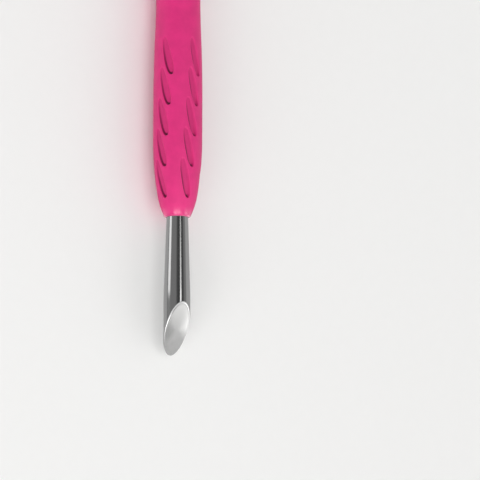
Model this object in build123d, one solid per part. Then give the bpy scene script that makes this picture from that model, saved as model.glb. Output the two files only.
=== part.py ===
from build123d import *
import math
import os
from typing import NamedTuple

# A soft-grip spudger: a steel blade with an oblique working face, set in a pen-shaped handle.
#
# The pieces are modelled on the tool's own axis, with the mouth of the handle at x = 0, the tip
# towards +X and the butt towards -X. They are then moved so that the tool lies on the plane z = 0,
# with its working face up and forward and the middle of its length at x = 0.

# Blade: a steel rod that flares from the mouth of the handle to a round working body.
BODY_R = 3.23            # round body that the working face is ground across
FLARE_DEG = 1.8          # half angle of the flare
FLARE_END = 17.5         # straight flare, from the mouth
FLARE_BLEND = 3.0        # arc that joins the flare to the round body
BEVEL_DEG = 27.0         # angle between the working face and the tool's axis
FACE_X = 27.3            # where the working face crosses the axis
RIM_BREAK = 0.3          # broken edge round the working face

# Tang: the part of the rod that the handle holds.
LIP_DEPTH = 2.6          # the rod's full neck reaches this far into the mouth
TANG_R = 2.0
TANG_END = 36.0
TANG_POINT = 0.6         # chamfer on the tang's hidden end
FLATS_START, FLATS_END = 13.0, 23.0
FLATS_ACROSS = 2.9       # two flats stop the blade turning
TANG_GROOVES = (27.0, 31.0)
GROOVE_WIDTH, GROOVE_DEPTH = 1.6, 0.45

# Handle outline: a bullet nose of three tangent arcs, a shallow waist and a straight rear barrel.
BARREL_R = 6.0
MOUTH_ARC_R, NOSE_ARC_R, SHOULDER_ARC_R = 0.4, 20.0, 84.0
MOUTH_ARC_END_DEG, NOSE_ARC_END_DEG = 25.0, 9.4      # slope of the outline where each arc ends
WAIST_START, WAIST_END = 30.0, 86.0
WAIST_DIP = 0.6
GRIP_END = 104.0         # where the soft grip meets the butt cap
HANDLE_LENGTH = 112.0
SEAM_BREAK = 0.25        # small chamfers that part the grip from the cap

# Soft grip over a rigid core.
GRIP_WALL = 1.25
KEY_GROOVES = (52.0, 64.0, 76.0, 88.0, 98.0)  # grooves in the core that the grip fills
KEY_WIDTH, KEY_DEPTH = 2.4, 0.4
CORE_BORE_R = 2.6
CORE_BORE_START = 44.0

# Leaf-shaped finger recesses, in rings that turn a little from one to the next.
LEAF_ROWS = 5
LEAVES_PER_ROW = 5
LEAF_TIP, LEAF_TOP = 4.2, 13.8                # ends of the first ring's leaves, from the mouth
LEAF_SWEEP_DEG = 21.0                         # turn of a leaf from its tip back to its top
LEAF_WIDTH = 2.15
LEAF_DEEP, LEAF_SHALLOW = 0.55, 0.1           # floor below the chord at the tip and at the top
LEAF_CUTTER_HEIGHT = 2.5
ROW_PITCH = 7.5
ROW_TWIST_DEG = 6.0

# Butt cap: a domed plug that snaps into the core.
CAP_RIM = 2.6            # straight part of the cap, flush with the barrel
CAP_FLAT_R = 1.1         # flat at the end of the dome
STEM_LENGTH = 9.0
SNAP_RING_R, SNAP_RING_WIDTH, SNAP_RING_AT = 2.85, 1.0, 6.5

BEVEL = math.radians(BEVEL_DEG)
FACE_NORMAL = Vector(math.sin(BEVEL), 0, math.cos(BEVEL))
SHARP_TIP_X = FACE_X + BODY_R / math.tan(BEVEL)
TIP_X = SHARP_TIP_X - RIM_BREAK * math.cos(BEVEL)
ON_BENCH = Location(((HANDLE_LENGTH - TIP_X) / 2, 0, BARREL_R))


class Stretch(NamedTuple):
    """A stretch of the handle's outline; distances run back from the mouth.

    An arc has its centre at (centre_back, centre_r). It bulges outwards when bend is 1 and inwards
    when it is -1. A bend of 0 is a straight line at radius centre_r.
    """

    start: float
    end: float
    bend: int
    centre_back: float
    centre_r: float
    arc_r: float

    def radius(self, back: float) -> float:
        """Radius of the handle at a distance back from the mouth."""
        return self.centre_r + self.bend * math.sqrt(max(self.arc_r**2 - (back - self.centre_back) ** 2, 0))


def outline_stretches() -> list[Stretch]:
    """The handle's outline from the mouth to the end of the grip."""
    steep, shallow = math.radians(MOUTH_ARC_END_DEG), math.radians(NOSE_ARC_END_DEG)
    nose_end = (SHOULDER_ARC_R * math.sin(shallow) + NOSE_ARC_R * (math.sin(steep) - math.sin(shallow))
                + MOUTH_ARC_R * (1 - math.sin(steep)))
    shoulder_r = BARREL_R - SHOULDER_ARC_R
    shoulder_start = nose_end - SHOULDER_ARC_R * math.sin(shallow)
    nose_back = shoulder_start + NOSE_ARC_R * math.sin(shallow)
    nose_r = shoulder_r + (SHOULDER_ARC_R - NOSE_ARC_R) * math.cos(shallow)
    nose_start = nose_back - NOSE_ARC_R * math.sin(steep)
    mouth_r = nose_r + (NOSE_ARC_R - MOUTH_ARC_R) * math.cos(steep)

    quarter = (WAIST_END - WAIST_START) / 4
    waist_arc_r = quarter**2 / WAIST_DIP + WAIST_DIP / 4
    waist_middle = (WAIST_START + WAIST_END) / 2
    crest_r = BARREL_R - waist_arc_r
    return [
        Stretch(0, nose_start, 1, MOUTH_ARC_R, mouth_r, MOUTH_ARC_R),
        Stretch(nose_start, shoulder_start, 1, nose_back, nose_r, NOSE_ARC_R),
        Stretch(shoulder_start, nose_end, 1, nose_end, shoulder_r, SHOULDER_ARC_R),
        Stretch(nose_end, WAIST_START, 0, 0, BARREL_R, 0),
        Stretch(WAIST_START, WAIST_START + quarter, 1, WAIST_START, crest_r, waist_arc_r),
        Stretch(WAIST_START + quarter, WAIST_END - quarter, -1, waist_middle,
                BARREL_R - WAIST_DIP + waist_arc_r, waist_arc_r),
        Stretch(WAIST_END - quarter, WAIST_END, 1, WAIST_END, crest_r, waist_arc_r),
        Stretch(WAIST_END, GRIP_END, 0, 0, BARREL_R, 0),
    ]


def grip_radius(back: float) -> float:
    """Outer radius of the handle at a distance back from the mouth."""
    return next(stretch.radius(back) for stretch in outline_stretches() if back <= stretch.end)


def turned(outline: list) -> Part:
    """Revolves a closed outline, drawn as x and radius, about the tool's axis."""
    return revolve(make_face(Curve() + outline), Axis.X)


def ring(middle: float, width: float, inner: float, outer: float) -> Part:
    """A ring about the tool's axis, its middle at a distance back from the mouth."""
    rear, front = -middle - width / 2, -middle + width / 2
    return turned([Polyline((rear, inner), (front, inner), (front, outer), (rear, outer), close=True)])


def handle_solid(front: float, inset: float) -> Part:
    """Solid inside the handle's outline, taken in by inset, from front back to the end of the grip."""
    edges = []
    for stretch in outline_stretches():
        start, end = max(stretch.start, front), stretch.end
        if end <= start:
            continue
        stations = (start, (start + end) / 2, end)
        first, middle, last = [(-back, stretch.radius(back) - inset) for back in stations]
        edges.append(ThreePointArc(first, middle, last) if stretch.bend else Line(first, last))
    edges.append(Polyline(edges[-1] @ 1, (-GRIP_END, 0), (-front, 0), edges[0] @ 0))
    return turned(edges)


def spudger_blade() -> Part:
    """The steel rod: grooved tang with two flats, flared shaft and oblique working face."""
    flare = math.radians(FLARE_DEG)
    blend_r = BODY_R - FLARE_BLEND * math.tan(flare / 2)
    neck_r = blend_r - FLARE_END * math.tan(flare)
    body_start = FLARE_END + FLARE_BLEND
    outline = [
        Polyline((-TANG_END, 0), (-TANG_END, TANG_R - TANG_POINT), (-TANG_END + TANG_POINT, TANG_R),
                 (-LIP_DEPTH, TANG_R), (-LIP_DEPTH, neck_r), (0, neck_r), (FLARE_END, blend_r)),
        TangentArc((FLARE_END, blend_r), (body_start, BODY_R), tangent=(math.cos(flare), math.sin(flare))),
        Polyline((body_start, BODY_R), (SHARP_TIP_X + 1, BODY_R), (SHARP_TIP_X + 1, 0), (-TANG_END, 0)),
    ]
    rod = turned(outline)
    for middle in TANG_GROOVES:
        rod -= ring(middle, GROOVE_WIDTH, TANG_R - GROOVE_DEPTH, TANG_R + 1)
    for side in (-1, 1):
        waste = Box(FLATS_END - FLATS_START, 2 * TANG_R, TANG_R)
        rod -= Pos(-(FLATS_START + FLATS_END) / 2, 0, side * (FLATS_ACROSS + TANG_R) / 2) * waste
    face_plane = Plane(origin=(FACE_X, 0, 0), z_dir=FACE_NORMAL)
    rod = split(rod, bisect_by=face_plane, keep=Keep.BOTTOM)
    working_face = rod.faces().sort_by(Axis((0, 0, 0), tuple(FACE_NORMAL)))[-1]
    return chamfer(working_face.outer_wire().edges(), RIM_BREAK)


def butt_cap() -> Part:
    """Domed plug with a stem and a snap ring."""
    rim_end = GRIP_END + CAP_RIM
    stem_x = STEM_LENGTH - GRIP_END
    outline = [
        Polyline((stem_x, 0), (stem_x, CORE_BORE_R - SEAM_BREAK), (stem_x - SEAM_BREAK, CORE_BORE_R),
                 (-GRIP_END, CORE_BORE_R), (-GRIP_END, BARREL_R - SEAM_BREAK),
                 (-GRIP_END - SEAM_BREAK, BARREL_R), (-rim_end, BARREL_R)),
        TangentArc((-rim_end, BARREL_R), (-HANDLE_LENGTH, CAP_FLAT_R), tangent=(-1, 0)),
        Polyline((-HANDLE_LENGTH, CAP_FLAT_R), (-HANDLE_LENGTH, 0), (stem_x, 0)),
    ]
    return turned(outline) + ring(GRIP_END - SNAP_RING_AT, SNAP_RING_WIDTH, 0, SNAP_RING_R)


def core_blank() -> Part:
    """The core's outer shape, with the grooves that key the soft grip to it."""
    blank = handle_solid(LIP_DEPTH, GRIP_WALL)
    for middle in KEY_GROOVES:
        floor = grip_radius(middle) - GRIP_WALL - KEY_DEPTH
        blank -= ring(middle, KEY_WIDTH, floor, BARREL_R)
    return blank


def handle_core(blank: Part, blade: Part, cap: Part) -> Part:
    """Rigid core moulded round the tang, hollow behind it and closed by the cap's stem."""
    bore_length = GRIP_END - CORE_BORE_START
    bore = ring((CORE_BORE_START + GRIP_END) / 2, bore_length, 0, CORE_BORE_R)
    return blank - bore - blade - cap


def on_surface(back: float, turn: float) -> Vector:
    """Point on the grip's outer surface, at a turn from straight up towards +Y."""
    radius = grip_radius(back)
    return Vector(-back, radius * math.sin(turn), radius * math.cos(turn))


def leaf_cutter(row: int, place: int) -> Part:
    """Cutter for one leaf: an ellipse raised from a floor that sinks towards the leaf's tip."""
    tip_turn = math.radians(360 / LEAVES_PER_ROW * place + ROW_TWIST_DEG * row)
    top_turn = tip_turn - math.radians(LEAF_SWEEP_DEG)
    tip = on_surface(LEAF_TIP + ROW_PITCH * row, tip_turn)
    top = on_surface(LEAF_TOP + ROW_PITCH * row, top_turn)
    lengthwise = (tip - top).normalized()
    middle_turn = (tip_turn + top_turn) / 2
    radial = Vector(0, math.sin(middle_turn), math.cos(middle_turn))
    outward = (radial - lengthwise * radial.dot(lengthwise)).normalized()
    floor_tip, floor_top = tip - outward * LEAF_DEEP, top - outward * LEAF_SHALLOW
    along = (floor_tip - floor_top).normalized()
    across = outward.cross(along)
    floor = Plane(origin=(floor_tip + floor_top) / 2, x_dir=along, z_dir=along.cross(across))
    leaf = Ellipse((tip - top).length / 2, LEAF_WIDTH / 2)
    return extrude(floor * leaf, LEAF_CUTTER_HEIGHT)


def grip_sleeve(blank: Part, blade: Part, cap: Part) -> Part:
    """Soft grip moulded over the core, open round the blade's neck, with its leaf recesses."""
    sleeve = handle_solid(0, 0) - blank - blade - cap
    rear_edge = sleeve.edges().filter_by(GeomType.CIRCLE).sort_by(lambda e: (e.center().X, -e.radius))[0]
    sleeve = chamfer(rear_edge, SEAM_BREAK)
    cutters = [leaf_cutter(row, place) for row in range(LEAF_ROWS) for place in range(LEAVES_PER_ROW)]
    return sleeve - cutters


def main() -> None:
    """Builds every piece and writes one STEP file for each."""
    os.makedirs("parts", exist_ok=True)
    blade, cap, blank = spudger_blade(), butt_cap(), core_blank()
    pieces = {
        "spudger_blade": blade,
        "handle_core": handle_core(blank, blade, cap),
        "grip_sleeve": grip_sleeve(blank, blade, cap),
        "butt_cap": cap,
    }
    for name, piece in pieces.items():
        placed = ON_BENCH * piece
        export_step(placed, f"parts/{name}.step")
        box = placed.bounding_box()
        print(name, [round(v, 3) for v in (*box.min, *box.max)], round(placed.volume, 1))


main()
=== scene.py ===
import logging
import math
from dataclasses import dataclass, field
from enum import Enum
from typing import Any, Callable, Iterable, Sequence

import bmesh
import bpy
import numpy as np
from mathutils import Matrix, Vector
from mathutils.geometry import delaunay_2d_cdt


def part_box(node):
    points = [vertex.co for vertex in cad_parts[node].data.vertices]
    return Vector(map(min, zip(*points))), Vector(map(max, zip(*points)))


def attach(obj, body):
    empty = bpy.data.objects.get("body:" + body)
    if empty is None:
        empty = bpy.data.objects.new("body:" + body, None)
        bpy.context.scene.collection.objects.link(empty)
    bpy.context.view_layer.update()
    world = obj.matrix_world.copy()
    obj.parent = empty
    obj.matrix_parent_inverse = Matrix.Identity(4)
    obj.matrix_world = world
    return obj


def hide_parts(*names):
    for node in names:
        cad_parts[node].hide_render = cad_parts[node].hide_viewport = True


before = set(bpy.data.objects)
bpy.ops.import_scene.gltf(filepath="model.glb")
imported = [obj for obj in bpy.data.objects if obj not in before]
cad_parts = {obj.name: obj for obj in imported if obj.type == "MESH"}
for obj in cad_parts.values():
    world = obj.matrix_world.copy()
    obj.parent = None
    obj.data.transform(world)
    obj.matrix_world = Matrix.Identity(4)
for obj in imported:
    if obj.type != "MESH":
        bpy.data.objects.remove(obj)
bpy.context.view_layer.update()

# A soft-grip spudger on a bench. A polished steel rod, ground to an oblique oval face, stands in a
# round handle: a soft moulded grip with leaf-shaped recesses, over a rigid core, closed by a cap.
#
# Shapes are worked out in millimetres on the tool's own axis. A place on the tool is given by how
# far back it is from the mouth of the handle, its radius, and its turn, which is the angle round
# the axis from straight up (+Z) towards +Y. ToolFrame turns that into the row frame, in metres.

MM = 0.001
BODY = "root"
VIEW_OFFSET = (0.0152, -0.0055)  # middle of the view from the mouth: to the right and upwards, in metres
WELD = 1e-7        # points closer than this, in metres, are one point
CREASE_DEG = 38    # edges that turn more than this stay hard
NO_NORMAL = 0.5    # a stored normal shorter than this was never given
SENSOR_MM = 36.0   # width of the camera's sensor

Colour = tuple[float, float, float]
Socket = bpy.types.NodeSocket

log = logging.getLogger("spudger")


# ---------------------------------------------------------------- places on the tool


@dataclass(frozen=True)
class ToolFrame:
    """Where the tool's own axis lies in the row frame.

    Attributes:
        mouth_x: the mouth of the handle, in metres.
        axis_z: height of the tool's axis, in metres.
        tip_reach: distance from the mouth to the tip, in mm.
        grip_length: distance from the mouth back to the end of the soft grip, in mm.
        tang_reach: distance from the mouth back to the hidden end of the rod, in mm.
        handle_length: distance from the mouth back to the butt, in mm.
    """

    mouth_x: float
    axis_z: float
    tip_reach: float
    grip_length: float
    tang_reach: float
    handle_length: float

    @classmethod
    def read(cls) -> "ToolFrame":
        """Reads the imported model's own boxes.

        Returns:
            The tool's frame, with its lengths in mm.
        """
        grip_low, grip_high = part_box("grip_sleeve")
        rod_low, rod_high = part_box("spudger_blade")
        cap_low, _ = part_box("butt_cap")
        mouth = grip_high.x
        return cls(
            mouth_x=mouth,
            axis_z=(grip_low.z + grip_high.z) / 2,
            tip_reach=(rod_high.x - mouth) / MM,
            grip_length=(mouth - grip_low.x) / MM,
            tang_reach=(mouth - rod_low.x) / MM,
            handle_length=(mouth - cap_low.x) / MM,
        )

    def place(self, back: Any, radius: Any, turn: Any) -> np.ndarray:
        """Turns places on the tool into points of the row frame.

        Args:
            back: distances back from the mouth, in mm.
            radius: distances from the axis, in mm.
            turn: angles round the axis, in radians.

        Returns:
            The points, one row each, in metres.
        """
        back, radius, turn = np.broadcast_arrays(back, radius, turn)
        x = self.mouth_x - back * MM
        y = radius * np.sin(turn) * MM
        z = self.axis_z + radius * np.cos(turn) * MM
        return np.stack([x, y, z], axis=-1)

    @staticmethod
    def normal(lean: Any, turn: Any) -> np.ndarray:
        """Unit vectors at some turns that lean back towards the butt by -1 to 1.

        Args:
            lean: how much each vector leans back.
            turn: angles round the axis, in radians.

        Returns:
            The vectors, one row each.
        """
        lean, turn = np.broadcast_arrays(lean, turn)
        upright = np.sqrt(1 - lean**2)
        return np.stack([-lean, upright * np.sin(turn), upright * np.cos(turn)], axis=-1)


@dataclass(frozen=True)
class Stretch:
    """A stretch of the handle's outline: an arc, or a straight line when its bend is 0.

    Attributes:
        start: where it starts, back from the mouth, in mm.
        end: where it ends.
        bend: 1 bulges outwards, -1 inwards, 0 is straight.
        centre_back: how far back the arc's centre is.
        centre_r: the centre's radius, or the line's own.
        arc_r: the arc's radius.
    """

    start: float
    end: float
    bend: int
    centre_back: float
    centre_r: float
    arc_r: float

    def radius(self, back: np.ndarray) -> np.ndarray:
        """Radius of the handle at some distances back from the mouth."""
        rise = np.sqrt(np.maximum(self.arc_r**2 - (back - self.centre_back) ** 2, 0))
        return self.centre_r + self.bend * rise

    def lean(self, back: np.ndarray) -> np.ndarray:
        """How much the outward normal leans back towards the butt, from -1 to 1.

        Args:
            back: distances back from the mouth, in mm.

        Returns:
            The lean at each distance.
        """
        if not self.bend:
            return np.zeros_like(back)
        return np.clip(self.bend * (back - self.centre_back) / self.arc_r, -1, 1)


@dataclass(frozen=True)
class HandleOutline:
    """The handle's outline: a bullet nose of three tangent arcs, a shallow waist and a barrel.

    Sizes are in mm and slopes in degrees, as the moulded grip has them.
    """

    grip_length: float
    barrel_r: float = 6.0
    mouth_arc_r: float = 0.52
    nose_arc_r: float = 20.0
    shoulder_arc_r: float = 84.0
    mouth_arc_end_deg: float = 25.0
    nose_arc_end_deg: float = 9.4
    waist_start: float = 30.0
    waist_end: float = 86.0
    waist_dip: float = 0.6

    def stretches(self) -> list[Stretch]:
        """The outline from the mouth to the end of the grip.

        Returns:
            The stretches, in order and end to end.
        """
        steep = math.radians(self.mouth_arc_end_deg)
        shallow = math.radians(self.nose_arc_end_deg)
        shoulder_run = self.shoulder_arc_r * math.sin(shallow)
        nose_run = self.nose_arc_r * (math.sin(steep) - math.sin(shallow))
        mouth_run = self.mouth_arc_r * (1 - math.sin(steep))
        nose_end = shoulder_run + nose_run + mouth_run
        shoulder_r = self.barrel_r - self.shoulder_arc_r
        nose_back = mouth_run + nose_run + self.nose_arc_r * math.sin(shallow)
        nose_r = shoulder_r + (self.shoulder_arc_r - self.nose_arc_r) * math.cos(shallow)
        mouth_r = nose_r + (self.nose_arc_r - self.mouth_arc_r) * math.cos(steep)
        quarter = (self.waist_end - self.waist_start) / 4
        waist_arc_r = quarter**2 / self.waist_dip + self.waist_dip / 4
        waist_middle = (self.waist_start + self.waist_end) / 2
        crest_r = self.barrel_r - waist_arc_r
        hollow_r = self.barrel_r - self.waist_dip + waist_arc_r
        hollow_start, hollow_end = self.waist_start + quarter, self.waist_end - quarter
        return [
            Stretch(0, mouth_run, 1, self.mouth_arc_r, mouth_r, self.mouth_arc_r),
            Stretch(mouth_run, mouth_run + nose_run, 1, nose_back, nose_r, self.nose_arc_r),
            Stretch(mouth_run + nose_run, nose_end, 1, nose_end, shoulder_r, self.shoulder_arc_r),
            Stretch(nose_end, self.waist_start, 0, 0, self.barrel_r, 0),
            Stretch(self.waist_start, hollow_start, 1, self.waist_start, crest_r, waist_arc_r),
            Stretch(hollow_start, hollow_end, -1, waist_middle, hollow_r, waist_arc_r),
            Stretch(hollow_end, self.waist_end, 1, self.waist_end, crest_r, waist_arc_r),
            Stretch(self.waist_end, self.grip_length, 0, 0, self.barrel_r, 0),
        ]

    def sample(self, back: Any) -> tuple[np.ndarray, np.ndarray]:
        """Radius and lean of the outline.

        Args:
            back: distances back from the mouth, in mm.

        Returns:
            The radii in mm, and how much the outward normals lean back.
        """
        back = np.clip(np.asarray(back, float), 0, self.grip_length)
        parts = self.stretches()
        inside = [(back >= part.start) & (back <= part.end) for part in parts]
        radius = np.select(inside, [part.radius(back) for part in parts])
        lean = np.select(inside, [part.lean(back) for part in parts])
        return radius, lean


# ---------------------------------------------------------------- building meshes


@dataclass
class MeshDraft:
    """Points, faces and finishes of a piece while it is being built.

    Attributes:
        points: the points, in metres, in the row frame.
        normals: each point's own normal, or zeros where the faces decide.
        marks: named values at each point, which a material can read.
        faces: each face's corners, as numbers of points.
        finishes: each face's material, as a number in the piece's list of materials.
    """

    points: list[Sequence[float]] = field(default_factory=list)
    normals: list[Sequence[float]] = field(default_factory=list)
    marks: dict[str, list[float]] = field(default_factory=dict)
    faces: list[tuple[int, ...]] = field(default_factory=list)
    finishes: list[int] = field(default_factory=list)

    def add(self, points: Sequence[Sequence[float]], normals: Sequence[Sequence[float]] | None = None,
            **marks: Sequence[float]) -> list[int]:
        """Adds points.

        Args:
            points: the points.
            normals: their normals, or None to leave them to the faces.
            marks: named values, one for each point.

        Returns:
            The points' numbers.
        """
        first = len(self.points)
        self.points.extend(points)
        self.normals.extend([(0.0, 0.0, 0.0)] * len(points) if normals is None else normals)
        for name, values in marks.items():
            known = self.marks.setdefault(name, [])
            known.extend([0.0] * (first - len(known)))
            known.extend(float(value) for value in values)
        return list(range(first, len(self.points)))

    def face(self, corners: Sequence[int], finish: int = 0) -> None:
        """Adds one face."""
        self.faces.append(tuple(corners))
        self.finishes.append(finish)

    def bridge(self, first: Sequence[int], second: Sequence[int], finish: int = 0) -> None:
        """Joins two closed rings of the same count with four-sided faces.

        Args:
            first: numbers of the first ring's points.
            second: numbers of the second ring's points, in step with the first.
            finish: the faces' material.
        """
        for i, corner in enumerate(first):
            j = (i + 1) % len(first)
            self.face((corner, first[j], second[j], second[i]), finish)

    def loft(self, rings: Sequence[Sequence[int]], finish: int = 0) -> None:
        """Joins each ring with the next one."""
        for first, second in zip(rings, rings[1:]):
            self.bridge(first, second, finish)

    def fan(self, ring: Sequence[int], centre: int, finish: int = 0) -> None:
        """Closes a ring with triangles to a centre point."""
        for i, corner in enumerate(ring):
            self.face((corner, ring[(i + 1) % len(ring)], centre), finish)

    def piece(self, name: str, materials: Sequence[bpy.types.Material]) -> bpy.types.Object:
        """Makes the Blender object, with its points welded and its faces turned outwards.

        Args:
            name: the piece's name.
            materials: the materials that the finishes number.

        Returns:
            The object, linked to the scene.
        """
        mesh = bpy.data.meshes.new(name)
        mesh.from_pydata([tuple(point) for point in self.points], [], self.faces)
        for material in materials:
            mesh.materials.append(material)
        mesh.polygons.foreach_set("material_index", self.finishes)
        for label, values in self.marks.items():
            values.extend([0.0] * (len(self.points) - len(values)))
            mesh.attributes.new(label, "FLOAT", "POINT").data.foreach_set("value", values)
        wanted = mesh.attributes.new("wanted normal", "FLOAT_VECTOR", "POINT")
        wanted.data.foreach_set("vector", np.array(self.normals, np.float32).ravel())
        shell = bmesh.new()
        shell.from_mesh(mesh)
        bmesh.ops.remove_doubles(shell, verts=shell.verts, dist=WELD)
        bmesh.ops.dissolve_degenerate(shell, edges=shell.edges, dist=WELD)
        bmesh.ops.recalc_face_normals(shell, faces=shell.faces)
        shell.to_mesh(mesh)
        shell.free()
        self._shade(mesh)
        piece = bpy.data.objects.new(name, mesh)
        bpy.context.scene.collection.objects.link(piece)
        return piece

    @staticmethod
    def _shade(mesh: bpy.types.Mesh) -> None:
        """Smooths the mesh, keeps its hard edges and gives the points their own normals.

        Args:
            mesh: the mesh, with the wanted normals stored on its points.
        """
        mesh.shade_smooth()
        mesh.set_sharp_from_angle(angle=math.radians(CREASE_DEG))
        wanted = np.zeros(len(mesh.vertices) * 3, np.float32)
        mesh.attributes["wanted normal"].data.foreach_get("vector", wanted)
        usual = np.zeros(len(mesh.loops) * 3, np.float32)
        mesh.corner_normals.foreach_get("vector", usual)
        corners = np.zeros(len(mesh.loops), np.int32)
        mesh.loops.foreach_get("vertex_index", corners)
        chosen = wanted.reshape(-1, 3)[corners]
        unset = np.linalg.norm(chosen, axis=1) < NO_NORMAL
        chosen[unset] = usual.reshape(-1, 3)[unset]
        mesh.attributes.remove(mesh.attributes["wanted normal"])
        mesh.normals_split_custom_set(chosen.tolist())


def even_turns(count: int, start: float = 0.0) -> np.ndarray:
    """Angles of a closed ring, in radians, evenly spaced from a start."""
    return start + np.arange(count) * (2 * math.pi / count)


def arc_points(centre: tuple[float, float], radius: float, start_deg: float, end_deg: float,
               steps: int) -> list[tuple[float, float]]:
    """Points of an arc in a lathe profile.

    Args:
        centre: the arc's centre, as distance back and radius.
        radius: the arc's own radius.
        start_deg: where it starts, from the butt's direction towards the outside.
        end_deg: where it ends.
        steps: how many chords it is made of.

    Returns:
        The points, as distance back and radius.
    """
    angles = np.radians(np.linspace(start_deg, end_deg, steps + 1))
    return [(centre[0] + radius * math.cos(a), centre[1] + radius * math.sin(a)) for a in angles]


def install(piece: bpy.types.Object, slot: str, *nodes: str) -> None:
    """Fixes a piece to the tool, in place of the CAD nodes that it stands for.

    Args:
        piece: the finished piece.
        slot: the record's material slot; not used.
        nodes: the CAD nodes that it replaces.
    """
    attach(piece, BODY)
    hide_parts(*nodes)
    log.info("%s: %d points, %d faces", piece.name, len(piece.data.vertices), len(piece.data.polygons))


# ---------------------------------------------------------------- shader nodes


class Wiring:
    """Adds nodes to one node tree and joins them up."""

    def __init__(self, tree: bpy.types.NodeTree) -> None:
        """Starts on an empty tree."""
        self.tree = tree
        tree.nodes.clear()

    def node(self, kind: str, **settings: Any) -> bpy.types.Node:
        """Adds a node and sets its own properties.

        Args:
            kind: the node's type.
            settings: properties of the node, by name.

        Returns:
            The node.
        """
        node = self.tree.nodes.new(kind)
        for name, value in settings.items():
            setattr(node, name, value)
        return node

    def feed(self, target: Socket, value: Any) -> None:
        """Joins a socket to the target, or sets the target to a plain value.

        Args:
            target: the socket to feed.
            value: another socket, or a plain value.
        """
        if isinstance(value, Socket):
            self.tree.links.new(value, target)
        else:
            target.default_value = value

    def math(self, operation: str, *values: Any, clamp: bool = False) -> Socket:
        """Adds a Math node.

        Args:
            operation: what it works out.
            values: its inputs, as sockets or numbers.
            clamp: whether the result is kept between 0 and 1.

        Returns:
            The result.
        """
        node = self.node("ShaderNodeMath", operation=operation, use_clamp=clamp)
        for socket, value in zip(node.inputs, values):
            self.feed(socket, value)
        return node.outputs[0]

    def scaled(self, vector: Any, scale: Sequence[float]) -> Socket:
        """Multiplies a vector by three factors.

        Args:
            vector: what is multiplied.
            scale: the three factors.

        Returns:
            The product.
        """
        node = self.node("ShaderNodeVectorMath", operation="MULTIPLY")
        self.feed(node.inputs[0], vector)
        self.feed(node.inputs[1], scale)
        return node.outputs[0]

    def ramp(self, value: Any, low: float, high: float, to_low: Any = 0.0, to_high: Any = 1.0) -> Socket:
        """Eases a value from one level to another.

        Args:
            value: what is read.
            low: the value at which the result starts to change.
            high: the value at which it stops.
            to_low: the result below low.
            to_high: the result above high.

        Returns:
            The eased result.
        """
        node = self.node("ShaderNodeMapRange", interpolation_type="SMOOTHSTEP")
        for name, setting in (("Value", value), ("From Min", low), ("From Max", high),
                              ("To Min", to_low), ("To Max", to_high)):
            self.feed(node.inputs[name], setting)
        return node.outputs["Result"]

    def mix(self, share: Any, first: Any, second: Any) -> Socket:
        """Mixes two colours.

        Args:
            share: how much of the second colour is taken.
            first: the first colour.
            second: the second colour.

        Returns:
            The mixed colour.
        """
        node = self.node("ShaderNodeMix", data_type="RGBA", blend_type="MIX")
        self.feed(node.inputs[0], share)
        self.feed(node.inputs[6], first)
        self.feed(node.inputs[7], second)
        return node.outputs[2]

    def noise(self, vector: Any, scale: float, detail: float = 3.0, roughness: float = 0.5) -> Socket:
        """Adds a noise texture.

        Args:
            vector: where it is read.
            scale: how many features it has for each unit of the vector.
            detail: how many finer layers it has.
            roughness: how strong the finer layers are.

        Returns:
            Values about 0.5.
        """
        node = self.node("ShaderNodeTexNoise")
        self.feed(node.inputs["Vector"], vector)
        self.feed(node.inputs["Scale"], scale)
        self.feed(node.inputs["Detail"], detail)
        self.feed(node.inputs["Roughness"], roughness)
        return node.outputs["Fac"]

    def group(self, group: bpy.types.NodeTree, **inputs: Any) -> dict[str, Socket]:
        """Places a node group.

        Args:
            group: the group.
            inputs: values for its inputs, with underscores for spaces.

        Returns:
            The group's outputs by name.
        """
        node = self.node("ShaderNodeGroup", node_tree=group)
        for name, value in inputs.items():
            self.feed(node.inputs[name.replace("_", " ")], value)
        return {socket.name: socket for socket in node.outputs}

    def millimetres(self) -> Socket:
        """The place on the object, in mm."""
        place = self.node("ShaderNodeTexCoord").outputs["Object"]
        return self.scaled(place, (1 / MM, 1 / MM, 1 / MM))


class Lay(Enum):
    """Which way fine marks run over a surface; the value stretches the place before it is read."""

    LENGTHWISE = (0.035, 1.0, 1.0)
    ACROSS_FACE = (1.0, 0.045, 1.0)


GroupSocket = tuple[str, str, float]


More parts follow.
